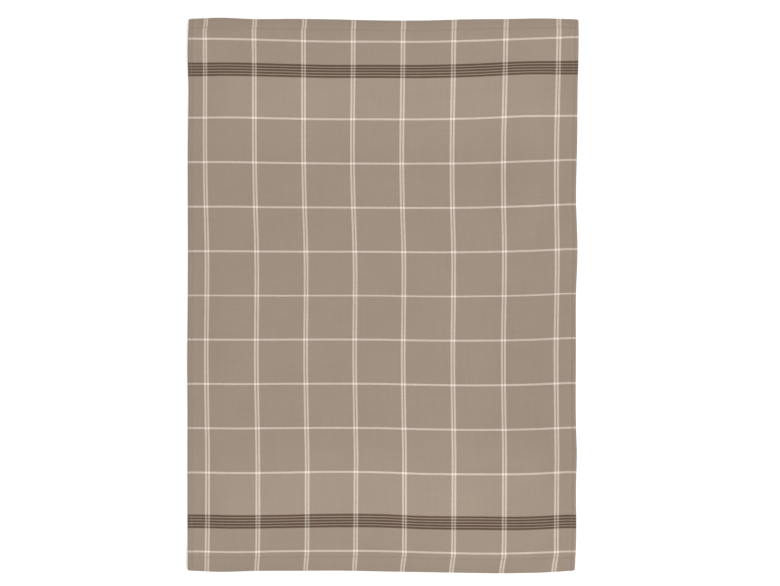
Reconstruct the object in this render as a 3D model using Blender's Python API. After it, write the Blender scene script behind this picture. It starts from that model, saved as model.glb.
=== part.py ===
"""Tea towel: one panel of woven cotton with a turned hem on each edge, lying face up and nearly flat.

Metres, +Z up. X runs across the towel and Y along it. The origin is under the middle of the
towel's box, on the surface that it lies on. The hems are turned to the underside, so the single
cloth comes down from the top of its hems to the surface over a short distance."""

import math
from collections import namedtuple

import bmesh
import bpy
import numpy as np

MM = 0.001

# The finished towel
WIDTH = 494 * MM
LENGTH = 702 * MM
CLOTH = 1.2 * MM  # thickness of the single cloth

# The hems
SIDE_HEM = 6.5 * MM
TOP_HEM = 13 * MM  # on the +Y end
LOW_HEM = 20 * MM  # on the -Y end
TURNED = 1.1 * MM  # height of the two layers turned under a hem
CORNER_BULK = 0.7 * MM  # what the crossing hems add at a corner
HEM_PUFF = 0.3 * MM  # how far a hem bulges between its fold and its seam
FOLD = 1.2 * MM  # width of the rounded fold at the towel's edge
FOLD_DROP = 0.6 * MM  # how far the fold's outermost line lies below its top and above its foot
HEM_STEP = 0.7 * MM  # width of the step at a hem's inner edge
SETTLE = 26 * MM  # distance over which the single cloth comes down from a hem
CORNER_ROUND = 1.6 * MM  # how far a corner is drawn in each way

# The grid between the hems
STEPS_ACROSS = 30
STEPS_ALONG = 42

# How far the long edges stray outwards, in millimetres, at a place along the towel
SideStation = namedtuple("SideStation", "along left right")
SIDES = (
    SideStation(-351, 0.3, -2.7),
    SideStation(-300, 0.5, -0.8),
    SideStation(-243, 0.6, -1.0),
    SideStation(-203, 0.6, 0.0),
    SideStation(-164, 0.5, -1.1),
    SideStation(-70, 0.8, -1.1),
    SideStation(0, 0.1, -1.0),
    SideStation(50, -0.1, 0.8),
    SideStation(126, 0.1, -1.0),
    SideStation(187, 0.1, 0.4),
    SideStation(262, -0.7, 1.1),
    SideStation(316, 0.3, 2.3),
    SideStation(351, -1.2, 2.0),
)

# How far the end edges stray outwards, in millimetres, at a place across the towel
EndStation = namedtuple("EndStation", "across top low")
ENDS = (
    EndStation(-247, 0.0, -1.6),
    EndStation(-206, 1.6, 0.1),
    EndStation(-160, 0.0, -1.0),
    EndStation(-104, 0.2, -1.2),
    EndStation(-53, -0.5, -1.4),
    EndStation(-2, -1.7, -0.5),
    EndStation(61, -1.8, 0.6),
    EndStation(107, -0.5, 1.3),
    EndStation(163, 0.1, 2.0),
    EndStation(207, 0.7, 1.0),
    EndStation(247, -0.6, -1.4),
)

# Low swells where the cloth lies off the surface: their middle, half length, half width and
# height in millimetres, and how far their length is turned from X in degrees
Swell = namedtuple("Swell", "x y length width turn height")
SWELLS = (
    Swell(-150, 250, 150, 38, 12, 1.5),
    Swell(70, 296, 170, 30, -6, 1.3),
    Swell(172, 130, 140, 34, 84, 1.7),
    Swell(-60, 110, 160, 45, 28, 1.2),
    Swell(215, -110, 120, 32, 88, 1.9),
    Swell(-200, -40, 130, 34, 95, 1.5),
    Swell(95, -85, 150, 42, -22, 1.3),
    Swell(-110, -190, 150, 40, 15, 1.4),
    Swell(120, -240, 140, 36, -10, 1.6),
    Swell(10, -325, 120, 30, 3, 1.2),
    Swell(-222, 318, 62, 28, 40, 1.8),
    Swell(226, -326, 58, 26, 38, 2.2),
)


def read(table, place, column):
    """One column of a table of stations, read in metres at any place by a smooth curve."""
    rows = np.array(table) * MM
    places = rows[:, 0]
    values = rows[:, table[0]._fields.index(column)]
    slopes = np.gradient(values, places)
    row = int(np.clip(np.searchsorted(places, place) - 1, 0, len(places) - 2))
    gap = places[row + 1] - places[row]
    t = np.clip((place - places[row]) / gap, 0, 1)
    start = (2 * t**3 - 3 * t**2 + 1) * values[row] + (t**3 - 2 * t**2 + t) * gap * slopes[row]
    end = (3 * t**2 - 2 * t**3) * values[row + 1] + (t**3 - t**2) * gap * slopes[row + 1]
    return float(start + end)


def grid_places(half, low_hem, high_hem, steps):
    """Places of the grid lines from -half to half: close over each hem, even between the hems."""
    low = [0, FOLD, (FOLD + low_hem) / 2, low_hem, low_hem + HEM_STEP]
    high = [0, FOLD, (FOLD + high_hem) / 2, high_hem, high_hem + HEM_STEP]
    start = -half + low[-1]
    end = half - high[-1]
    between = [start + (end - start) * step / steps for step in range(1, steps)]
    return [-half + x for x in low] + between + [half - x for x in reversed(high)]


def plan(across, along):
    """Where a point of the flat rectangle lies in plan, with the strays of the four edges."""
    right_share = across / WIDTH + 0.5
    top_share = along / LENGTH + 0.5
    x = across + read(SIDES, along, "right") * right_share
    x -= read(SIDES, along, "left") * (1 - right_share)
    y = along + read(ENDS, across, "top") * top_share
    y -= read(ENDS, across, "low") * (1 - top_share)
    return x, y


def swell(x, y):
    """How far the cloth lies off the surface at a point in plan."""
    height = 0.0
    for one in SWELLS:
        turn = math.radians(one.turn)
        dx = x - one.x * MM
        dy = y - one.y * MM
        lengthways = (dx * math.cos(turn) + dy * math.sin(turn)) / (one.length * MM)
        sideways = (dy * math.cos(turn) - dx * math.sin(turn)) / (one.width * MM)
        inside = 1 - lengthways**2 - sideways**2
        height += one.height * MM * max(inside, 0) ** 2
    return height


def surfaces(across, along):
    """The points of the top and of the underside over one point of the flat rectangle."""
    x, y = plan(across, along)
    from_side = WIDTH / 2 - abs(across)
    from_end = LENGTH / 2 - abs(along)
    from_edge = min(from_side, from_end)
    if max(from_side, from_end) < FOLD / 2:
        x -= math.copysign(CORNER_ROUND, x)
        y -= math.copysign(CORNER_ROUND, y)

    # How far the point lies past the inner edge of the side hems and of the end hems
    past_side = from_side - SIDE_HEM
    past_end = min(LENGTH / 2 - along - TOP_HEM, LENGTH / 2 + along - LOW_HEM)
    past_hems = min(past_side, past_end)
    in_hem = past_hems < HEM_STEP / 2

    lift = swell(x, y)
    held_up = TURNED * max(1 - max(past_hems, 0) / SETTLE, 0) ** 2
    top = lift + held_up + CLOTH
    under = lift if in_hem else lift + held_up
    if max(past_side, past_end) < HEM_STEP / 2:
        top += CORNER_BULK
    if from_edge < FOLD / 2:
        top -= FOLD_DROP
        under += FOLD_DROP
    elif from_edge > FOLD * 1.5 and past_hems < -FOLD:
        top += HEM_PUFF
    return (x, y, top), (x, y, under)


def cotton():
    """Beige-brown woven cotton."""
    material = bpy.data.materials.new("beige cotton")
    material.use_nodes = True
    shader = material.node_tree.nodes["Principled BSDF"]
    shader.inputs["Base Color"].default_value = (0.356, 0.283, 0.227, 1)
    shader.inputs["Roughness"].default_value = 0.9
    shader.inputs["Metallic"].default_value = 0
    return material


def towel_cloth():
    """The panel with its hems, as one closed solid with its box centred over the origin."""
    columns = grid_places(WIDTH / 2, SIDE_HEM, SIDE_HEM, STEPS_ACROSS)
    rows = grid_places(LENGTH / 2, LOW_HEM, TOP_HEM, STEPS_ALONG)
    points = {
        (i, j): surfaces(across, along)
        for i, across in enumerate(columns)
        for j, along in enumerate(rows)
    }
    plans = np.array([top[:2] for top, under in points.values()])
    middle = (plans.min(0) + plans.max(0)) / 2

    shape = bmesh.new()
    last_column = len(columns) - 1
    last_row = len(rows) - 1
    bmesh.ops.create_grid(shape, x_segments=last_column, y_segments=last_row, size=0.5)
    raised = bmesh.ops.extrude_face_region(shape, geom=shape.faces[:], use_keep_orig=True)
    top_verts = {part for part in raised["geom"] if isinstance(part, bmesh.types.BMVert)}
    for vert in shape.verts:
        column = round((vert.co.x + 0.5) * last_column)
        row = round((vert.co.y + 0.5) * last_row)
        top, under = points[column, row]
        x, y, z = top if vert in top_verts else under
        vert.co = (x - middle[0], y - middle[1], z)
    bmesh.ops.recalc_face_normals(shape, faces=shape.faces)

    mesh = bpy.data.meshes.new("towel_cloth")
    shape.to_mesh(mesh)
    shape.free()
    mesh.materials.append(cotton())
    mesh.shade_smooth()
    mesh.set_sharp_from_angle(angle=math.radians(40))
    towel = bpy.data.objects.new("towel_cloth", mesh)
    bpy.context.scene.collection.objects.link(towel)
    return towel


for old in list(bpy.data.objects):
    bpy.data.objects.remove(old)
towel_cloth()
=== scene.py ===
import math
from collections import namedtuple

import bpy
import numpy as np
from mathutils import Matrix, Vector, noise


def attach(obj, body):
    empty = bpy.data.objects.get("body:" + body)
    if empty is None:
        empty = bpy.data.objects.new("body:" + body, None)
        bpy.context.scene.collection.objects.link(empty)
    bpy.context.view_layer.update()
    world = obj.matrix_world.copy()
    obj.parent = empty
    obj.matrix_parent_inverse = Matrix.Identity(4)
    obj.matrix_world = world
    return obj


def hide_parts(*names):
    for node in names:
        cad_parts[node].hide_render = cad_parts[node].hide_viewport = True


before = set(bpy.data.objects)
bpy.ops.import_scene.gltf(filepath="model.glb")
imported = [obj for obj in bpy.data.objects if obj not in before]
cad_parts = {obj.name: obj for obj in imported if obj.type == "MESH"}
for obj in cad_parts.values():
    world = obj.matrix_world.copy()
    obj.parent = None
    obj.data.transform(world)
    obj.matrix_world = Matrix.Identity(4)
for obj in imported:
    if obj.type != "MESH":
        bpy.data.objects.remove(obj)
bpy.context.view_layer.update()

# ---------------------------------------------------------------------------------------------
# Towel cloth: one panel of plain woven cotton, cut 518 by 751 mm. The long sides are turned
# under twice and sewn, then the two ends, so a corner is nine layers thick. It lies face up,
# nearly flat, with low swells. The cream check and brown stripes are yarns woven into it.
# ---------------------------------------------------------------------------------------------
MM = 0.001
WIDTH = 494 * MM
LENGTH = 702 * MM
FLAT_WIDTH = 518 * MM  # as cut, which leaves 5.5 mm to tuck back inside each side hem
FLAT_LENGTH = 751 * MM
CLOTH = 0.62 * MM  # thickness of one layer

SIDE_HEM = 6.5 * MM
TOP_HEM = 13 * MM  # on the +Y end
LOW_HEM = 20 * MM  # on the -Y end
END_TUCK = 8 * MM  # what is tucked back inside an end hem
SIDE_SEAM = 5.2 * MM  # from the towel's edge to the sewing
END_SEAM = 1.5 * MM  # from the inner edge of an end hem to the sewing
LAYER = 0.66 * MM  # from one layer of a hem to the next
CORNER_PRESS = 0.36  # how much closer the layers lie where the hems cross
SEAM_SQUEEZE = 0.3  # how much the sewing draws the layers together
SEAM_SPREAD = 0.9 * MM  # how far beside the sewing that reaches
HEM_PUFF = 0.34 * MM  # how far a hem bulges between its fold and its sewing
DRAG_REACH = 6 * MM  # how far the top hem's drag takes to come in
FOLD_SHAPE = 0.8  # width of a fold's bend against its height
SETTLE = 26 * MM  # how far from a hem the face comes down to the surface
HEM_SETTLE = 9 * MM  # the same inside the end hems, next to a side hem
CORNER_ROUND = 0.4 * MM  # how far a corner is drawn in
CORNER_REACH = 5 * MM
PUCKER = 0.2 * MM
PUCKER_REACH = 6 * MM
PUCKER_SIZE = 9 * MM
RIPPLE = 0.25 * MM
RIPPLE_SIZE = 34 * MM
FINE_RIPPLE = 0.1 * MM
FINE_RIPPLE_SIZE = 15 * MM

CELL_ACROSS = 4.3 * MM  # of the cloth's grid, between the hems
CELL_ALONG = 3.7 * MM
HEM_CELL = 2.3 * MM
SETTLE_LINES = 9  # grid lines over the cloth that comes down from a hem
FOLD_START = 1.7 * MM  # from the towel's edge to the last grid line before the fold
FOLD_CELLS = 6  # cells round the fold at the towel's edge
TUCK_CELLS = 4  # cells round the fold inside the hem

# How far the long edges stray outwards, in millimetres, at a place along the towel, and how far
# the lengthwise yarns between them sway to the right
SideStation = namedtuple("SideStation", "along left right sway")
SIDES = (
    SideStation(-351, 0.3, -2.7, -0.8),
    SideStation(-300, 0.5, -0.8, 0.0),
    SideStation(-243, 0.6, -1.0, 0.4),
    SideStation(-203, 0.6, 0.0, 0.7),
    SideStation(-164, 0.5, -1.1, 0.2),
    SideStation(-70, 0.8, -1.1, -0.7),
    SideStation(0, 0.1, -1.0, 0.3),
    SideStation(50, -0.1, 0.8, 0.8),
    SideStation(126, 0.1, -1.0, -0.1),
    SideStation(187, 0.1, 0.4, -0.4),
    SideStation(262, -0.7, 1.1, 0.0),
    SideStation(316, 0.3, 2.3, 0.0),
    SideStation(351, -1.2, 2.0, 0.0),
)

# How far the end edges stray outwards, in millimetres, at a place across the towel
EndStation = namedtuple("EndStation", "across top low")
ENDS = (
    EndStation(-247, 0.0, -1.6),
    EndStation(-206, 1.6, 0.1),
    EndStation(-160, 0.0, -1.0),
    EndStation(-104, 0.2, -1.2),
    EndStation(-53, -0.5, -1.4),
    EndStation(-2, -1.7, -0.5),
    EndStation(61, -1.8, 0.6),
    EndStation(107, -0.5, 1.3),
    EndStation(163, 0.1, 2.0),
    EndStation(207, 0.7, 1.0),
    EndStation(247, -0.6, -1.4),
)

# How far the lengthwise yarns wander to the right, in millimetres, at five places along them,
# and how far each end hem drags them once it is sewn down
Warp = namedtuple("Warp", "across low lower middle upper top low_drag top_drag")
WARPS = (
    Warp(-222.6, 0.1, -0.6, -0.9, -2.5, -3.1, 0.0, 1.5),
    Warp(-159.0, 0.7, -0.4, -1.2, -3.3, -4.3, -0.9, 1.0),
    Warp(-95.4, -0.4, -1.4, -2.2, -4.5, -5.2, -1.2, 1.5),
    Warp(-31.8, -2.3, -2.8, -3.5, -6.1, -5.6, -1.0, 0.7),
    Warp(31.8, -3.3, -4.3, -4.6, -6.5, -5.2, -2.2, 0.6),
    Warp(95.4, -4.5, -4.9, -5.1, -6.3, -4.4, -2.4, 0.5),
    Warp(159.0, -3.9, -4.3, -4.4, -4.5, -1.9, -3.0, 0.3),
    Warp(222.6, -1.3, -1.3, -1.0, -0.8, 2.0, -2.9, -0.3),
)
WARP_PLACES = (-332, -170, 0, 170, 332)

# How far the crosswise yarns bow towards the top, in millimetres, at eight places of the towel
Weft = namedtuple("Weft", "across low low_band low_check lower middle upper top_band top")
WEFTS = (
    Weft(-237, 0.0, -0.2, 0.6, 0.5, 0.0, 0.4, 0.4, 0.9),
    Weft(-193, -1.1, -1.2, -0.2, -0.1, -0.1, 0.5, 0.9, 0.8),
    Weft(-131, 0.0, -0.7, 0.2, 0.3, -0.3, -0.5, -0.4, -0.7),
    Weft(-67, 0.5, 0.5, 1.2, 0.7, -0.2, -1.2, -1.9, -2.4),
    Weft(-5, 0.5, 0.4, 0.7, 0.4, -0.3, -1.5, -1.9, -2.6),
    Weft(59, -1.2, -2.1, -1.3, -1.1, -1.2, -1.5, -2.1, -2.8),
    Weft(122, -2.9, -2.7, -1.8, -1.9, -1.1, -0.9, -0.5, -1.3),
    Weft(188, -2.3, -2.9, -1.5, -1.2, 0.1, 1.4, 2.6, 1.2),
    Weft(236, 0.3, -0.5, 1.0, 1.0, 2.4, 3.2, 2.6, 2.9),
)
WEFT_PLACES = (-325, -287, -226, -170, 0, 170, 287, 325)

# Low swells where the cloth lies off the surface: their middle, half length, half width and
# height in millimetres, and how far their length is turned from X in degrees
Swell = namedtuple("Swell", "x y length width turn height")
SWELLS = (
    Swell(-150, 250, 150, 38, 12, 1.5),
    Swell(70, 296, 170, 30, -6, 1.3),
    Swell(172, 130, 140, 34, 84, 1.7),
    Swell(-60, 110, 160, 45, 28, 1.2),
    Swell(215, -110, 120, 32, 88, 1.9),
    Swell(-200, -40, 130, 34, 95, 1.5),
    Swell(95, -85, 150, 42, -22, 1.3),
    Swell(-110, -190, 150, 40, 15, 1.4),
    Swell(120, -240, 140, 36, -10, 1.6),
    Swell(10, -325, 120, 30, 3, 1.2),
    Swell(-222, 318, 62, 28, 40, 1.8),
    Swell(226, -326, 58, 26, 38, 2.2),
)


def column(table, name):
    """One column of a table, in metres."""
    return np.array([getattr(row, name) for row in table]) * MM


def curve(places, values, at):
    """A smooth line through the values at some places, read at others. The values may differ
    from point to point, as a row for each place."""
    places = np.asarray(places)
    values = np.asarray(values)
    slopes = np.gradient(values, places, axis=0)
    at = np.clip(at, places[0], places[-1])
    row = np.clip(np.searchsorted(places, at) - 1, 0, len(places) - 2)
    gap = places[row + 1] - places[row]
    t = (at - places[row]) / gap
    here = (row, np.arange(len(at))) if values.ndim == 2 else (row,)
    after = (row + 1,) + here[1:]
    start = (2 * t**3 - 3 * t**2 + 1) * values[here] + (t**3 - 2 * t**2 + t) * gap * slopes[here]
    end = (3 * t**2 - 2 * t**3) * values[after] + (t**3 - t**2) * gap * slopes[after]
    return start + end


def plan(across, along):
    """Where points of the sewn rectangle lie in plan: its yarns wander and its edges stray."""
    places = np.array(WARP_PLACES) * MM
    top_sewn = np.clip((along - (LENGTH / 2 - TOP_HEM)) / DRAG_REACH, 0, 1)
    low_sewn = np.clip((-along - (LENGTH / 2 - LOW_HEM)) / LOW_HEM, 0, 1) ** 0.6
    sway = curve(column(SIDES, "along"), column(SIDES, "sway"), along)
    shifts = [-curve(column(SIDES, "along"), column(SIDES, "left"), along)]
    for warp in WARPS:
        wander = np.array([warp.low, warp.lower, warp.middle, warp.upper, warp.top]) * MM
        drag = top_sewn * warp.top_drag * MM + low_sewn * warp.low_drag * MM
        shifts.append(curve(places, wander, along) + drag + sway)
    shifts.append(curve(column(SIDES, "along"), column(SIDES, "right"), along))
    warps = np.concatenate(([-WIDTH / 2], column(WARPS, "across"), [WIDTH / 2]))

    bows = [-curve(column(ENDS, "across"), column(ENDS, "low"), across)]
    for place in Weft._fields[1:]:
        bows.append(curve(column(WEFTS, "across"), column(WEFTS, place), across))
    bows.append(curve(column(ENDS, "across"), column(ENDS, "top"), across))
    wefts = np.concatenate(([-LENGTH / 2], np.array(WEFT_PLACES) * MM, [LENGTH / 2]))
    return across + curve(warps, shifts, across), along + curve(wefts, bows, along)


def swell(x, y):
    """How far the cloth lies off the surface at points in plan."""
    height = np.zeros(len(x))
    for one in SWELLS:
        turn = math.radians(one.turn)
        dx = x - one.x * MM
        dy = y - one.y * MM
        lengthways = (dx * math.cos(turn) + dy * math.sin(turn)) / (one.length * MM)
        sideways = (dy * math.cos(turn) - dx * math.sin(turn)) / (one.width * MM)
        inside = 1 - lengthways**2 - sideways**2
        height += one.height * MM * np.maximum(inside, 0) ** 2
    return height


def uneven(x, y, size, seed):
    """Soft random unevenness between 0 and 1, with hollows about this size apart."""
    points = zip(x / size, y / size)
    return np.array([0.5 + 0.5 * noise.noise(Vector((a, b, seed))) for a, b in points])


def lie(side, inward_x, roll_x, end, inward_y, roll_y):
    """Where the middle of the cloth lies, and how thick it is. A point is given by its distance
    in from the side edge and the end edge, and by how far it has gone round each hem's folds:
    0 on the face, 1 turned under, 2 tucked back in. Side and end are -1 or 1."""
    end_hem = np.where(end > 0, TOP_HEM, LOW_HEM)
    held_y = np.maximum(1 - np.maximum(inward_y - end_hem, 0) / SETTLE, 0) ** 2
    reach = SETTLE + (HEM_SETTLE - SETTLE) * held_y
    held_x = np.maximum(1 - np.maximum(inward_x - SIDE_HEM, 0) / reach, 0) ** 2
    layer = LAYER * (1 - CORNER_PRESS * held_x * held_y)

    # Layers of the side hem, counted down from its face
    turn_x = np.minimum(roll_x, 1) * math.pi
    tuck_x = np.maximum(roll_x - 1, 0) * math.pi
    depth = np.where(roll_x <= 1, 1 - np.cos(turn_x), 1.5 + 0.5 * np.cos(tuck_x))
    layers = 1 + 2 * held_x

    # Layers of the end hem, which is folded from the whole thickness of the side hem
    turn_y = np.minimum(roll_y, 1) * math.pi
    tuck_y = np.maximum(roll_y - 1, 0) * math.pi
    outer = (3 * layers - 1) / 2
    inner = (2 * layers - 1) / 2
    face = layers - 1 - depth + 2 * layers * held_y
    turned = outer + (outer - depth) * np.cos(turn_y)
    tucked = inner - (inner - depth) * np.cos(tuck_y)
    level = np.where(roll_y <= 0, face, np.where(roll_y <= 1, turned, tucked))

    # The folds' bends, in plan
    bend = FOLD_SHAPE * layer
    x = np.maximum(inward_x, bend * (1 - np.sin(turn_x)))
    x_limit = SIDE_HEM - 0.5 * bend * (1 - np.sin(tuck_x))
    x = np.where(roll_x >= 1, np.minimum(x, x_limit), x)
    y = np.maximum(inward_y, bend * (outer - (outer - depth) * np.sin(turn_y)))
    y_limit = end_hem - bend * (inner - (inner - depth) * np.sin(tuck_y))
    y = np.where(roll_y >= 1, np.minimum(y, y_limit), y)
    rounding = np.clip(1 - x / CORNER_REACH, 0, 1) * np.clip(1 - y / CORNER_REACH, 0, 1)
    pull = CORNER_ROUND * rounding**2 + CLOTH / 2
    x, y = plan(side * (WIDTH / 2 - x - pull), end * (LENGTH / 2 - y - pull))

    # The sewing draws the layers together, and the hem puffs between it and the fold
    end_seam = end_hem - END_SEAM
    squeeze = 1 - SEAM_SQUEEZE * np.exp(-(((inward_x - SIDE_SEAM) / SEAM_SPREAD) ** 2))
    squeeze *= 1 - SEAM_SQUEEZE * np.exp(-(((inward_y - end_seam) / SEAM_SPREAD) ** 2))
    puff = np.sin(math.pi * np.clip(inward_x / SIDE_SEAM, 0, 1)) ** 2
    puff += np.sin(math.pi * np.clip(inward_y / end_seam, 0, 1)) ** 2
    top_level = layers * (1 + 2 * held_y) - 1
    middle = top_level / 2
    height = layer * (middle + (level - middle) * squeeze)
    height += HEM_PUFF * puff * level / np.maximum(top_level, 1)

    # Puckers beside the sewing, low ripples, and the swells
    near_seam = np.exp(-(((inward_x - SIDE_SEAM) / PUCKER_REACH) ** 2))
    near_seam = np.maximum(near_seam, np.exp(-(((inward_y - end_seam) / PUCKER_REACH) ** 2)))
    height += PUCKER * near_seam * uneven(x, y, PUCKER_SIZE, 3.7)
    height += RIPPLE * uneven(x, y, RIPPLE_SIZE, 11.3)
    height += FINE_RIPPLE * uneven(x, y, FINE_RIPPLE_SIZE, 5.1)
    thickness = CLOTH / LAYER * layer * squeeze
    return x, y, height + swell(x, y) + thickness / 2, thickness


# How deep each hem is, how far its sewing lies from the edge, and how far its raw edge lies from
# the middle of the flat cloth
Hem = namedtuple("Hem", "depth seam raw")
side_hem = Hem(SIDE_HEM, SIDE_SEAM, FLAT_WIDTH / 2)
top_hem = Hem(TOP_HEM, TOP_HEM - END_SEAM, LENGTH / 2 + TOP_HEM + END_TUCK)
low_hem = Hem(LOW_HEM, LOW_HEM - END_SEAM, LENGTH / 2 + LOW_HEM + END_TUCK)

# Grid lines: the edge that each belongs to, -1 or 1, its distance in from that edge, how far round
# the folds it is, and its place on the flat cloth
Lines = namedtuple("Lines", "edge inward roll flat")


def hem_lines(hem, half):
    """Grid lines from where the face starts to rise, round both folds of a hem to its raw edge:
    distance in from the towel's edge, how far round the folds, and place on the flat cloth. Half
    is the distance from the towel's middle to its edge."""
    rising = [(step / SETTLE_LINES) ** 1.3 for step in range(SETTLE_LINES, 0, -1)]
    settle = [(hem.depth + SETTLE * share, 0) for share in rising]
    sewn = [hem.seam + 0.5 * MM, hem.seam, hem.seam - 0.8 * MM]
    steps = math.ceil((sewn[-1] - FOLD_START) / HEM_CELL)
    between = [sewn[-1] + (FOLD_START - sewn[-1]) * step / steps for step in range(1, steps + 1)]
    face = [(inward, 0) for inward in sewn + between]
    outer = [(0, step / FOLD_CELLS) for step in range(FOLD_CELLS + 1)]
    under = [(inward, 1) for inward in reversed(sewn + between)]
    inner = [(hem.depth, 1 + step / TUCK_CELLS) for step in range(TUCK_CELLS + 1)]

    # Distance along one layer of cloth, to find where the raw edge comes
    inward, roll = np.array(settle + face + outer + under + inner).T
    turn = np.minimum(roll, 1) * math.pi
    tuck = np.maximum(roll - 1, 0) * math.pi
    bend = FOLD_SHAPE * LAYER
    x = np.maximum(inward, bend * (1 - np.sin(turn)))
    x = np.where(roll >= 1, np.minimum(x, hem.depth - 0.5 * bend * (1 - np.sin(tuck))), x)
    z = np.where(roll <= 1, LAYER * (1 + np.cos(turn)), 0.5 * LAYER * (1 - np.cos(tuck)))
    flat = half - x[0] + np.concatenate(([0], np.cumsum(np.hypot(np.diff(x), np.diff(z)))))
    raw = x[-1] - (hem.raw - flat[-1])
    tucked = [place for place in sewn + between if place > raw + 1 * MM] + [raw]
    flat = np.concatenate((flat, flat[-1] + x[-1] - np.array(tucked)))
    inward = np.concatenate((inward, tucked))
    roll = np.concatenate((roll, np.full(len(tucked), 2)))
    return inward, roll, flat


def grid_lines(half, low_hem, high_hem, cell):
    """All the grid lines one way, from raw edge to raw edge."""
    low_inward, low_roll, low_flat = hem_lines(low_hem, half)
    high_inward, high_roll, high_flat = hem_lines(high_hem, half)
    start = low_inward[0] - half
    stop = half - high_inward[0]
    body = np.linspace(start, stop, round((stop - start) / cell) + 1)[1:-1]
    edges = (-np.ones(len(low_flat)), np.where(body > 0, 1, -1), np.ones(len(high_flat)))
    return Lines(
        edge=np.concatenate(edges),
        inward=np.concatenate((low_inward[::-1], half - np.abs(body), high_inward)),
        roll=np.concatenate((low_roll[::-1], np.zeros(len(body)), high_roll)),
        flat=np.concatenate((-low_flat[::-1], body, high_flat)),
    )


def only(piece):
    """Selects one object alone and makes it active."""
    bpy.ops.object.select_all(action="DESELECT")
    piece.select_set(True)
    bpy.context.view_layer.objects.active = piece


columns = grid_lines(WIDTH / 2, side_hem, side_hem, CELL_ACROSS)
rows = grid_lines(LENGTH / 2, low_hem, top_hem, CELL_ALONG)

# The flat grid, with one vertex for each crossing of the grid lines
bpy.ops.object.select_all(action="DESELECT")
last_column = len(columns.flat) - 1
last_row = len(rows.flat) - 1
bpy.ops.mesh.primitive_grid_add(x_subdivisions=last_column, y_subdivisions=last_row, size=1)
towel = bpy.context.object
towel.name = towel.data.name = "woven_towel"
mesh = towel.data
points = np.zeros(len(mesh.vertices) * 3)
mesh.vertices.foreach_get("co", points)
points = points.reshape(-1, 3)
i = np.rint((points[:, 0] + 0.5) * last_column).astype(int)
j = np.rint((points[:, 1] + 0.5) * last_row).astype(int)

# Folded, sewn and laid
x, y, z, thickness = lie(
    columns.edge[i], columns.inward[i], columns.roll[i], rows.edge[j], rows.inward[j], rows.roll[j]
)
middle_x = (x.min() + x.max()) / 2
middle_y = (y.min() + y.max()) / 2
mesh.vertices.foreach_set("co", np.column_stack((x - middle_x, y - middle_y, z)).ravel())

# Places on the flat cloth, in metres, for the woven pattern
flat_map = mesh.uv_layers[0]
flat_map.name = "flat_cloth"
corners = np.zeros(len(mesh.loops), dtype=int)
mesh.loops.foreach_get("vertex_index", corners)
flat_places = np.column_stack((columns.flat[i], rows.flat[j]))[corners]
flat_map.data.foreach_set("uv", flat_places.ravel())

# Each face's own place on a square sheet, for keeping the finish as pictures. The right side of
# the cloth takes most of the sheet, and the wrong side lies narrowed beside it.
RIGHT_SHARE = 0.70
SHEET_EDGE = 0.004
sheet_map = mesh.uv_layers.new(name="OFBake")
sheet_places = (flat_places + (side_hem.raw, low_hem.raw)) / (FLAT_WIDTH, FLAT_LENGTH)
sheet_places = sheet_places * (RIGHT_SHARE - 2 * SHEET_EDGE, 1 - 2 * SHEET_EDGE) + SHEET_EDGE
sheet_map.data.foreach_set("uv", sheet_places.ravel())
one_side = len(mesh.loops)

# Thickness, less where the layers are pressed or sewn together
pressed = towel.vertex_groups.new(name="thickness")
shares = np.clip(thickness / CLOTH, 0, 1)
for share in np.unique(np.round(shares, 2)):
    members = np.nonzero(np.round(shares, 2) == share)[0]
    pressed.add(members.tolist(), float(share), "REPLACE")
only(towel)
solid = towel.modifiers.new("cloth", "SOLIDIFY")
solid.thickness = CLOTH
solid.offset = 0
solid.vertex_group = "thickness"
bpy.ops.object.modifier_apply(modifier=solid.name)
towel.vertex_groups.clear()
bpy.ops.object.shade_smooth_by_angle(angle=math.radians(60))
sheet_map = towel.data.uv_layers["OFBake"]
sheet_places = np.zeros(len(towel.data.loops) * 2)
sheet_map.data.foreach_get("uv", sheet_places)
sheet_places = sheet_places.reshape(-1, 2)
wrong_side = sheet_places[one_side : 2 * one_side]
wrong_side[:, 0] = RIGHT_SHARE + wrong_side[:, 0] * (1 - RIGHT_SHARE) / RIGHT_SHARE
sheet_map.data.foreach_set("uv", sheet_places.ravel())


def node(tree, kind, inputs=None, **settings):
    """Adds a node, with its settings and with values or links for its inputs."""
    made = tree.nodes.new(kind)
    for name, value in settings.items():
        setattr(made, name, value)
    for name, value in (inputs or {}).items():
        if isinstance(value, bpy.types.NodeSocket):
            tree.links.new(value, made.inputs[name])
        else:
            made.inputs[name].default_value = value
    return made


def calc(tree, operation, *values):
    """The result of one sum on numbers or sockets."""
    return node(tree, "ShaderNodeMath", dict(enumerate(values)), operation=operation).outputs[0]


def ramp(tree, value, start, stop, low=0.0, high=1.0):
    """Goes smoothly from low to high as the value goes from start to stop."""
    made = node(
        tree, "ShaderNodeMapRange", {0: value, 1: start, 2: stop, 3: low, 4: high},
        interpolation_type="SMOOTHSTEP",
    )
    return made.outputs[0]


def blend(tree, share, first, second):
    """Mixes two colours."""
    made = node(tree, "ShaderNodeMix", data_type="RGBA")
    for place, value in ((0, share), (6, first), (7, second)):
        if isinstance(value, bpy.types.NodeSocket):
            tree.links.new(value, made.inputs[place])
        else:
            made.inputs[place].default_value = value
    return made.outputs[2]


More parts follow.
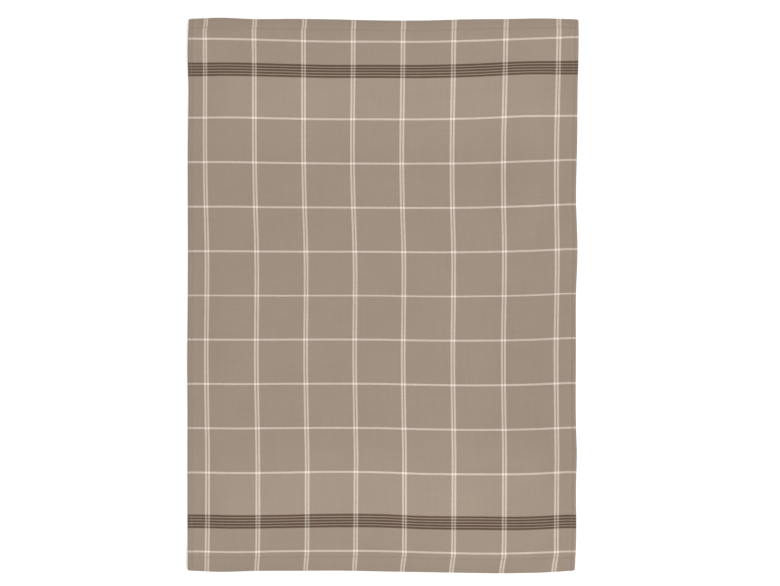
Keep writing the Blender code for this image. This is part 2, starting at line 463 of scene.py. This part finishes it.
# The woven pattern, set out on the flat cloth and counted in yarns from its middle
YARN = 0.6 * MM  # from one yarn to the next, both ways
YARN_RELIEF = 0.2 * MM  # from the crown of a yarn to the gap beside it
YARN_ROUND = 2.0  # height of a yarn's round side against its rise over another yarn
YARN_WANDER = 0.3 * MM
YARN_WAVE = 9 * MM  # the length over which a yarn wanders
FIBRE = 0.16 * MM
CLOUD = 60 * MM  # patches of slightly different tone
LINE_HALF = 2  # half of a cream line or of a brown stripe
CHECK_ACROSS = 106  # from one pair of lengthwise lines to the next
FIRST_PAIR = -371  # the middle of the pair farthest left
PAIR_HALF = 3  # from the middle of a pair to each of its lines
CHECK_ALONG = 94  # from one crosswise line to the next
LAST_CHECK = 420  # beyond the last of these
END_LINE = 542  # one more crosswise line near each end
BAND = 478  # the middle of the five brown stripes
STRIPES = 6  # from one stripe to the next
BAND_HALF = 15

# How much the brightness varies from yarn to yarn, from patch to patch and in the fibres, and how
# much painted shade darkens the gaps between the yarns' crowns
YARN_TONE = 0.22
CLOUD_TONE = 0.08
FIBRE_TONE = 0.12
GAP_SHADE = 0.36
EVEN_CROWN = 0.66  # the height where a gap's shade neither darkens nor brightens

# The share of a coloured yarn's own colour where it lies over a plain one, and where it dips under
# one but still shows at its sides
CREAM_OVER = 0.82
CREAM_UNDER = 0.18
BROWN_OVER = 0.86
BROWN_UNDER = 0.64
CREAM_OVER_BROWN = 0.6  # of a cream yarn that lies over a brown one

GROUND = (0.360, 0.286, 0.225, 1)
CREAM = (0.91, 0.795, 0.695, 1)
BROWN = (0.068, 0.0225, 0.0065, 1)

# At a place on the cloth: the middles of its lengthwise and crosswise yarns, counted in yarns, how
# much the lengthwise one is on top, how high the upper one is, and the noise of the fibres
Weave = namedtuple("Weave", "warp weft warp_up crown fibres")


def soft_noise(tree, x, y, seed, detail=1.0):
    """Soft noise around 0.5 over two numbers."""
    place = node(tree, "ShaderNodeCombineXYZ", {0: x, 1: y, 2: seed}).outputs[0]
    noisy = node(tree, "ShaderNodeTexNoise", {"Vector": place, "Scale": 1.0, "Detail": detail})
    return noisy.outputs[0]


def patches(tree, flat, size_across, size_along, seed, detail=1.0):
    """Soft noise around 0.5, in patches of this size on the flat cloth."""
    x = calc(tree, "DIVIDE", flat[0], size_across)
    y = calc(tree, "DIVIDE", flat[1], size_along)
    return soft_noise(tree, x, y, seed, detail)


def plain_weave(tree, flat):
    """Plain weave: every yarn is round across itself, and rises over one yarn and dips under the
    next. The higher of the two yarns at a place is the one that shows."""

    def counted(distance, wander):
        """A distance in yarns. Each yarn wanders a little, so their gaps are uneven."""
        wander = calc(tree, "MULTIPLY_ADD", wander, YARN_WANDER, -YARN_WANDER / 2)
        return calc(tree, "DIVIDE", calc(tree, "ADD", distance, wander), YARN)

    def height_of(own_wave, crossed_wave, way):
        """How high a yarn's surface is, from its own roundness and its rise over the other."""
        rise = calc(tree, "MULTIPLY", calc(tree, "SIGN", own_wave), crossed_wave)
        side = calc(tree, "MULTIPLY", calc(tree, "ABSOLUTE", own_wave), YARN_ROUND)
        return calc(tree, "MULTIPLY_ADD", rise, way, side)

    warps = counted(flat[0], patches(tree, flat, 1.1 * MM, YARN_WAVE, 31.0))
    wefts = counted(flat[1], patches(tree, flat, YARN_WAVE, 1.1 * MM, 37.0))
    across_wave = calc(tree, "SINE", calc(tree, "MULTIPLY", warps, math.pi))
    along_wave = calc(tree, "SINE", calc(tree, "MULTIPLY", wefts, math.pi))
    warp_height = height_of(across_wave, along_wave, 1.0)
    weft_height = height_of(along_wave, across_wave, -1.0)
    crown = calc(tree, "MAXIMUM", warp_height, weft_height)

    # The fibres roughen the line between two yarns
    fibres = patches(tree, flat, FIBRE, FIBRE, 21.0, 2.0)
    higher = calc(tree, "SUBTRACT", warp_height, weft_height)
    higher = calc(tree, "ADD", higher, calc(tree, "MULTIPLY_ADD", fibres, 1.6, -0.8))
    return Weave(
        warp=calc(tree, "ADD", calc(tree, "FLOOR", warps), 0.5),
        weft=calc(tree, "ADD", calc(tree, "FLOOR", wefts), 0.5),
        warp_up=ramp(tree, higher, -0.6, 0.6),
        crown=calc(tree, "DIVIDE", crown, 1 + YARN_ROUND),
        fibres=fibres,
    )


def on_top(tree, weave, warp, weft):
    """What shows of two things, one on the lengthwise yarns and one on the crosswise."""
    return node(tree, "ShaderNodeMix", {0: weave.warp_up, 2: weft, 3: warp}).outputs[0]


def yarn_tones(tree, flat, weave):
    """Soft noise around 0.5, different for each yarn and changing slowly along it."""
    tones = []
    for count, length, seed in ((weave.warp, flat[1], 0.3), (weave.weft, flat[0], 7.3)):
        x = calc(tree, "MULTIPLY", count, 1.37)
        y = calc(tree, "DIVIDE", length, 40 * MM)
        tones.append(soft_noise(tree, x, y, seed))
    return on_top(tree, weave, *tones)


def check_and_stripes(tree, weave):
    """The colour at each place, and 1 where it is among the brown stripes."""
    from_centre = calc(tree, "ABSOLUTE", weave.weft)

    # The cream check
    off_pair = calc(tree, "SUBTRACT", weave.warp, FIRST_PAIR)
    off_pair = calc(tree, "PINGPONG", off_pair, CHECK_ACROSS / 2)
    off_line = calc(tree, "ABSOLUTE", calc(tree, "SUBTRACT", off_pair, PAIR_HALF))
    warp_line = calc(tree, "LESS_THAN", off_line, LINE_HALF)
    in_check = calc(tree, "LESS_THAN", from_centre, LAST_CHECK)
    off_check = calc(tree, "PINGPONG", weave.weft, CHECK_ALONG / 2)
    off_end = calc(tree, "ABSOLUTE", calc(tree, "SUBTRACT", from_centre, END_LINE))
    off_line = node(tree, "ShaderNodeMix", {0: in_check, 2: off_end, 3: off_check}).outputs[0]
    weft_line = calc(tree, "LESS_THAN", off_line, LINE_HALF)
    cream = calc(tree, "MULTIPLY", warp_line, on_top(tree, weave, CREAM_OVER, CREAM_UNDER))
    weft_shows = on_top(tree, weave, CREAM_UNDER, CREAM_OVER)
    cream = calc(tree, "MULTIPLY_ADD", weft_line, weft_shows, cream)

    # The five brown stripes near each end, which are crosswise yarns
    off_band = calc(tree, "SUBTRACT", from_centre, BAND)
    in_band = calc(tree, "LESS_THAN", calc(tree, "ABSOLUTE", off_band), BAND_HALF)
    stripe = calc(tree, "LESS_THAN", calc(tree, "PINGPONG", off_band, STRIPES / 2), LINE_HALF)
    stripe = calc(tree, "MULTIPLY", stripe, in_band)
    brown = calc(tree, "MULTIPLY", stripe, on_top(tree, weave, BROWN_UNDER, BROWN_OVER))
    over_stripe = calc(tree, "MULTIPLY", warp_line, on_top(tree, weave, CREAM_OVER_BROWN, 0.0))
    brown = calc(tree, "MULTIPLY", brown, calc(tree, "SUBTRACT", 1.0, over_stripe))
    return blend(tree, brown, blend(tree, cream, GROUND, CREAM), BROWN), in_band


def cloth_tone(tree, flat, weave, yarns, in_band):
    """How bright each place of the cloth is against its colour, with painted light and shade on it.
    """

    def varied(tone, value, amount, middle=0.5):
        """Adds an amount of how far a value is from its middle."""
        tone = calc(tree, "SUBTRACT", tone, amount * middle)
        return calc(tree, "MULTIPLY_ADD", value, amount, tone)

    def shaded(tone, distance, start, stop, change):
        """Adds a change that comes in smoothly between two places, in millimetres."""
        return calc(tree, "MULTIPLY_ADD", ramp(tree, distance, start * MM, stop * MM), change, tone)

    # Yarns differ a little; painted shade darkens their gaps and painted light lightens their
    # crowns
    tone = varied(1.0, yarns, YARN_TONE)
    tone = varied(tone, patches(tree, flat, CLOUD, CLOUD, 13.0), CLOUD_TONE)
    tone = varied(tone, weave.fibres, FIBRE_TONE)
    tone = varied(tone, weave.crown, GAP_SHADE, EVEN_CROWN)

    # Painted light and shade of the cloth's slight unevenness: between the two sets of stripes the
    # cloth is paler towards them, though less so at the sides. It is a little darker at both sides,
    # most so at the right low down, and even beyond the stripes.
    across, along = flat
    from_axis = calc(tree, "ABSOLUTE", across)
    from_middle = calc(tree, "ABSOLUTE", along)
    shade = shaded(0.0, from_middle, 160, 222, 0.045)
    shade = shaded(shade, from_middle, 222, 230, 0.06)
    shade = calc(tree, "MULTIPLY", shade, ramp(tree, from_axis, 180 * MM, 235 * MM, 1.0, 0.4))
    shade = shaded(shade, across, -190, -225, -0.02)
    shade = shaded(shade, across, 120, 165, shaded(-0.02, along, 60, -60, -0.03))
    beyond = ramp(tree, from_middle, 282 * MM, 292 * MM)
    shade = node(tree, "ShaderNodeMix", {0: beyond, 2: shade, 3: 0.03}).outputs[0]
    tone = calc(tree, "ADD", tone, shade)

    # The cloth is darker between the stripes. Over the hems it carries painted shade for the light
    # that shows through one layer but not through three, and towards the edges more painted shade
    # for the folds rounding away from the light
    tone = calc(tree, "MULTIPLY_ADD", in_band, -0.15, tone)
    tone = shaded(tone, from_middle, 322, 346, -0.045)
    tone = shaded(tone, from_middle, 338, 350, -0.03)
    return shaded(tone, from_axis, 240, 245, -0.04)


def woven_cotton():
    """Plain woven beige-brown cotton with its cream check and brown end stripes."""
    material = bpy.data.materials.new("woven_cotton")
    material.use_nodes = True
    tree = material.node_tree
    shader = tree.nodes["Principled BSDF"]
    place = node(tree, "ShaderNodeUVMap", uv_map="flat_cloth").outputs[0]
    split = node(tree, "ShaderNodeSeparateXYZ", {0: place})
    flat = (split.outputs[0], split.outputs[1])
    weave = plain_weave(tree, flat)
    yarns = yarn_tones(tree, flat, weave)
    colour, in_band = check_and_stripes(tree, weave)
    tone = cloth_tone(tree, flat, weave, yarns, in_band)
    colour = node(tree, "ShaderNodeVectorMath", {0: colour, 3: tone}, operation="SCALE").outputs[0]
    tree.links.new(colour, shader.inputs["Base Color"])

    rough = calc(tree, "MULTIPLY_ADD", weave.fibres, 0.1, 0.85)
    tree.links.new(rough, shader.inputs["Roughness"])
    relief = calc(tree, "MULTIPLY_ADD", yarns, 0.6, weave.crown)
    relief = calc(tree, "MULTIPLY_ADD", weave.fibres, 0.35, relief)
    bump = node(tree, "ShaderNodeBump", {
        "Height": relief, "Strength": 0.8, "Distance": YARN_RELIEF,
    })
    tree.links.new(bump.outputs[0], shader.inputs["Normal"])
    shader.inputs["Specular IOR Level"].default_value = 0.15
    shader.inputs["Sheen Weight"].default_value = 0.08
    shader.inputs["Sheen Roughness"].default_value = 0.5
    return material


mesh.materials.append(woven_cotton())
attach(towel, "root")
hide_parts("towel_cloth")

# ---------------------------------------------------------------------------------------------
# Sewing thread: beige two-ply thread in one row of lockstitch along each of the four hems. The
# same row shows on the face and on the underside. The sides are sewn first, so their rows turn
# under with the end hems.
# ---------------------------------------------------------------------------------------------
STITCH = 3.0 * MM  # from one stitch to the next
STITCH_LENGTH = 2.8 * MM
THREAD = 0.45 * MM
STITCH_RISE = 0.18 * MM  # of the middle of a stitch over the cloth
STITCH_DIP = 0.34 * MM  # of its ends under that
STITCH_SLANT = 0.05  # sideways for each step along
ROW_END = 2 * MM  # from the end of a row of stitches to the towel's edge
PLIES = 2
PLY_TWIST = 60.0  # how far the plies turn over the length of a stitch's map, in radians
PLY_RELIEF = 0.04 * MM
# The thread's colour in the painted shade of the grooves between its plies, and on their crowns
THREAD_GROOVE_SHADE = (0.30, 0.236, 0.186, 1)
THREAD_PALE = (0.40, 0.322, 0.262, 1)

# One stitch, lying along X, bent down into the cloth and thinner at both ends
bpy.ops.object.select_all(action="DESELECT")
bpy.ops.mesh.primitive_cylinder_add(
    vertices=6, radius=THREAD / 2, depth=STITCH_LENGTH, rotation=(0, math.pi / 2, 0)
)
stitch = bpy.context.object
bpy.ops.object.transform_apply(location=False, rotation=True, scale=False)
bpy.ops.object.mode_set(mode="EDIT")
for share in (-0.45, -0.36, -0.16, 0.16, 0.36, 0.45):
    bpy.ops.mesh.select_all(action="SELECT")
    bpy.ops.mesh.bisect(plane_co=(share * STITCH_LENGTH, 0, 0), plane_no=(1, 0, 0))
bpy.ops.object.mode_set(mode="OBJECT")
shape = np.zeros(len(stitch.data.vertices) * 3)
stitch.data.vertices.foreach_get("co", shape)
shape = shape.reshape(-1, 3)
arch = np.sin(math.pi * np.clip(shape[:, 0] / STITCH_LENGTH + 0.5, 0, 1)) ** 0.45
slim = 0.6 + 0.4 * arch
shape[:, 1] = shape[:, 1] * slim + STITCH_SLANT * shape[:, 0]
shape[:, 2] = shape[:, 2] * slim + STITCH_RISE - STITCH_DIP * (1 - arch)


def stitches(way, first, last, place):
    """Points of a row of stitches between two places along a hem. Way is 1 on the face and -1 on
    the underside; place gives where the cloth lies at distances along the row."""
    count = int((last - first) / STITCH)
    starts = first + (last - first - count * STITCH) / 2 + STITCH * (np.arange(count) + 0.5)
    along = (starts[:, None] + shape[None, :, 0]).ravel()
    sideways = np.tile(shape[:, 1], count) * way
    x, y, z, thickness = place(along)
    z = z + way * (thickness / 2 + np.tile(shape[:, 2], count))
    return x - middle_x, y - middle_y, z, sideways


def side_row(side, roll_x, roll_y):
    """Where the cloth lies along the sewing of a side hem."""

    def place(along):
        end = np.where(along > 0, 1, -1)
        inward_y = LENGTH / 2 - np.abs(along)
        full = np.ones(len(along))
        return lie(full * side, full * SIDE_SEAM, full * roll_x, end, inward_y, full * roll_y)

    return place


def end_row(end, hem, roll_y):
    """Where the cloth lies along the sewing of an end hem."""

    def place(along):
        side = np.where(along > 0, 1, -1)
        inward_x = WIDTH / 2 - np.abs(along)
        full = np.ones(len(along))
        return lie(side, inward_x, full * 0, full * end, full * hem.seam, full * roll_y)

    return place


# A side row shows along the whole face. On the underside it shows between the end hems, and on
# them too, where it is turned under with them.
threads = []
length_end = LENGTH / 2 - ROW_END
width_end = WIDTH / 2 - ROW_END
low_inner = LOW_HEM - LENGTH / 2
top_inner = LENGTH / 2 - TOP_HEM
for side in (-1, 1):
    parts = (
        (1, -length_end, length_end, side_row(side, 0, 0)),
        (-1, low_inner, top_inner, side_row(side, 1, 0)),
        (-1, top_inner, length_end, side_row(side, 0, 1)),
        (-1, -length_end, low_inner, side_row(side, 0, 1)),
    )
    for way, first, last, place in parts:
        x, y, z, sideways = stitches(way, first, last, place)
        threads.append(np.column_stack((x + sideways, y, z)))
for end, hem in ((-1, low_hem), (1, top_hem)):
    for way, roll in ((1, 0), (-1, 1)):
        x, y, z, sideways = stitches(way, -width_end, width_end, end_row(end, hem, roll))
        threads.append(np.column_stack((x, y + sideways, z)))
threads = np.concatenate(threads)

# Each stitch keeps the faces and the map of the first one
faces = [tuple(face.vertices) for face in stitch.data.polygons]
ply_map = np.zeros(len(stitch.data.loops) * 2)
stitch.data.uv_layers[0].data.foreach_get("uv", ply_map)
size = len(shape)
count = len(threads) // size
sewn = bpy.data.meshes.new("sewing_thread")
sewn.from_pydata(
    threads.tolist(), [], [[k * size + v for v in face] for k in range(count) for face in faces]
)
sewn.uv_layers.new(name="ply").data.foreach_set("uv", np.tile(ply_map, count))
stitch.data = sewn
stitch.name = "sewing_thread"
only(stitch)
bpy.ops.object.mode_set(mode="EDIT")
bpy.ops.mesh.select_all(action="SELECT")
bpy.ops.mesh.normals_make_consistent(inside=False)
bpy.ops.object.mode_set(mode="OBJECT")
bpy.ops.object.shade_smooth_by_angle(angle=math.radians(70))


def sewing_cotton():
    """Beige two-ply sewing thread."""
    material = bpy.data.materials.new("sewing_cotton")
    material.use_nodes = True
    tree = material.node_tree
    shader = tree.nodes["Principled BSDF"]
    ply = node(tree, "ShaderNodeUVMap", uv_map="ply").outputs[0]
    split = node(tree, "ShaderNodeSeparateXYZ", {0: ply})
    turn = calc(tree, "MULTIPLY", split.outputs[0], 2 * math.pi * PLIES)
    twist = calc(tree, "SINE", calc(tree, "MULTIPLY_ADD", split.outputs[1], PLY_TWIST, turn))
    # The plies' twist, with painted shade in the grooves between them and the paler colour on their
    # crowns
    high = ramp(tree, twist, -1.0, 1.0)
    colour = blend(tree, high, THREAD_GROOVE_SHADE, THREAD_PALE)
    tree.links.new(colour, shader.inputs["Base Color"])
    tree.links.new(calc(tree, "MULTIPLY_ADD", high, -0.1, 0.75), shader.inputs["Roughness"])
    bump = node(tree, "ShaderNodeBump", {"Height": high, "Strength": 0.5, "Distance": PLY_RELIEF})
    tree.links.new(bump.outputs[0], shader.inputs["Normal"])
    shader.inputs["Specular IOR Level"].default_value = 0.3
    shader.inputs["Sheen Weight"].default_value = 0.1
    return material


stitch.data.materials.append(sewing_cotton())
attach(stitch, "root")

# ---------------------------------------------------------------------------------------------
# Studio: a plain white table that glows faintly, light from all round, one large soft lamp, and
# the camera straight above the towel.
# ---------------------------------------------------------------------------------------------
FLOOR_SIZE = 40.0
FLOOR_GAP = 0.1 * MM
HORIZON_LIGHT = 1.0
CEILING_LIGHT = 0.70
LAMP_PLACE = (2.3, -0.95, 3.0)
LAMP_SIZE = 1.8
LAMP_POWER = 62
CAMERA_HEIGHT = 2.340
CAMERA_X = 8.9 * MM
CAMERA_Y = 3.3 * MM

bpy.ops.object.select_all(action="DESELECT")
bpy.ops.mesh.primitive_plane_add(size=FLOOR_SIZE, location=(0, 0, -FLOOR_GAP))
floor = bpy.context.object
floor.name = "white_table"
white = bpy.data.materials.new("white_table")
white.use_nodes = True
surface = white.node_tree.nodes["Principled BSDF"]
surface.inputs["Base Color"].default_value = (0.92, 0.92, 0.92, 1)
surface.inputs["Roughness"].default_value = 0.8
surface.inputs["Emission Color"].default_value = (1, 1, 1, 1)
surface.inputs["Emission Strength"].default_value = 0.3
floor.data.materials.append(white)

world = bpy.data.worlds.new("studio")
world.use_nodes = True
tree = world.node_tree
place = node(tree, "ShaderNodeTexCoord").outputs["Generated"]
height = node(tree, "ShaderNodeSeparateXYZ", {0: place}).outputs[2]
tree.links.new(
    ramp(tree, height, 0.0, 0.5, HORIZON_LIGHT, CEILING_LIGHT),
    tree.nodes["Background"].inputs["Strength"],
)
tree.nodes["Background"].inputs["Color"].default_value = (1, 1, 1, 1)
bpy.context.scene.world = world

bpy.ops.object.light_add(type="AREA", location=LAMP_PLACE)
lamp = bpy.context.object
lamp.name = "soft_lamp"
lamp.data.shape = "SQUARE"
lamp.data.size = LAMP_SIZE
lamp.data.energy = LAMP_POWER
lamp.rotation_euler = (-lamp.location).to_track_quat("-Z", "Y").to_euler()

bpy.ops.object.camera_add(location=(CAMERA_X, CAMERA_Y, CAMERA_HEIGHT), rotation=(0, 0, 0))
camera = bpy.context.object
camera.data.lens = 85
camera.data.sensor_width = 36
camera.data.clip_start = 0.1
camera.data.clip_end = 50
bpy.context.scene.camera = camera
bpy.context.scene.view_settings.view_transform = "Standard"
bpy.context.scene.view_settings.look = "None"
